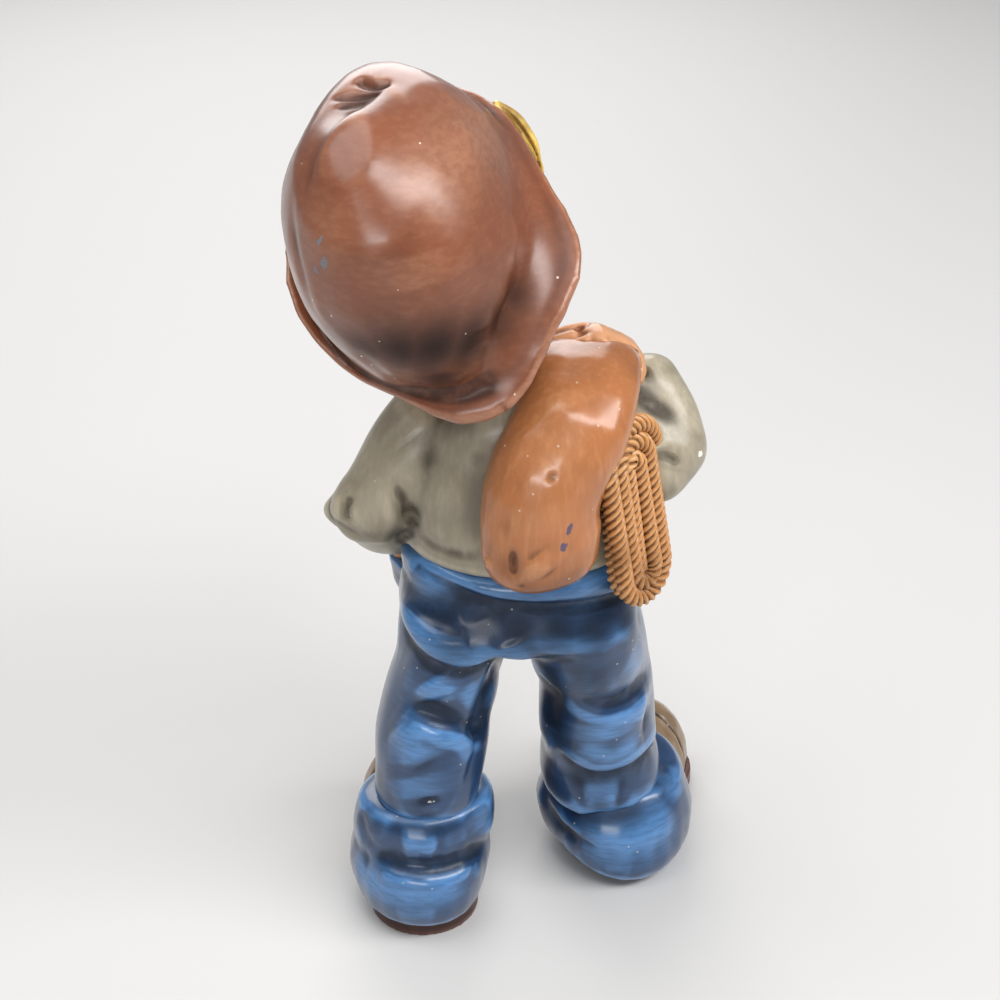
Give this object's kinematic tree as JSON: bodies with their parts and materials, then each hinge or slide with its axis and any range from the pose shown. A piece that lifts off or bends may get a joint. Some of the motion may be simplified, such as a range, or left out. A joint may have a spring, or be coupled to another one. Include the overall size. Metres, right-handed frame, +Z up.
{
  "type": "ceramic figurine",
  "caption": "Glazed earthenware figurine of a standing country boy in a slouch hat, with a sack over one shoulder and a hank of rope hanging beside it",
  "frame": {"origin": "On the floor under the middle of the figurine's bounding box", "axes": "+Z is up, the figure faces -Y, and its left side is +X"},
  "size_m": [0.1518, 0.1468, 0.3282],
  "materials": {
    "hat_glaze": "glossy brown glaze",
    "hair_glaze": "glossy yellow glaze",
    "skin_glaze": "glossy skin-coloured glaze",
    "shirt_glaze": "satin olive-grey glaze",
    "sack_glaze": "glossy tan glaze",
    "rope_glaze": "satin straw-coloured glaze",
    "jeans_glaze": "glossy blue glaze",
    "shoe_glaze": "glossy leather-brown glaze",
    "sole_glaze": "satin reddish-brown glaze"
  },
  "bodies": {
    "root": {"left_sole": "sole_glaze", "right_sole": "sole_glaze", "left_shoe": "shoe_glaze", "right_shoe": "shoe_glaze", "left_cuff": "jeans_glaze", "right_cuff": "jeans_glaze", "left_leg": "jeans_glaze", "right_leg": "jeans_glaze", "jeans_seat": "jeans_glaze", "waistband": "jeans_glaze", "shirt_body": "shirt_glaze", "left_sleeve": "shirt_glaze", "right_sleeve": "shirt_glaze", "shirt_collar": "shirt_glaze", "left_hand": "skin_glaze", "right_hand": "skin_glaze", "head": "skin_glaze", "hair_fringe": "hair_glaze", "hat_crown": "hat_glaze", "hat_brim": "hat_glaze", "sack": "sack_glaze", "rope_coil": "rope_glaze"}
  },
  "joints": []
}
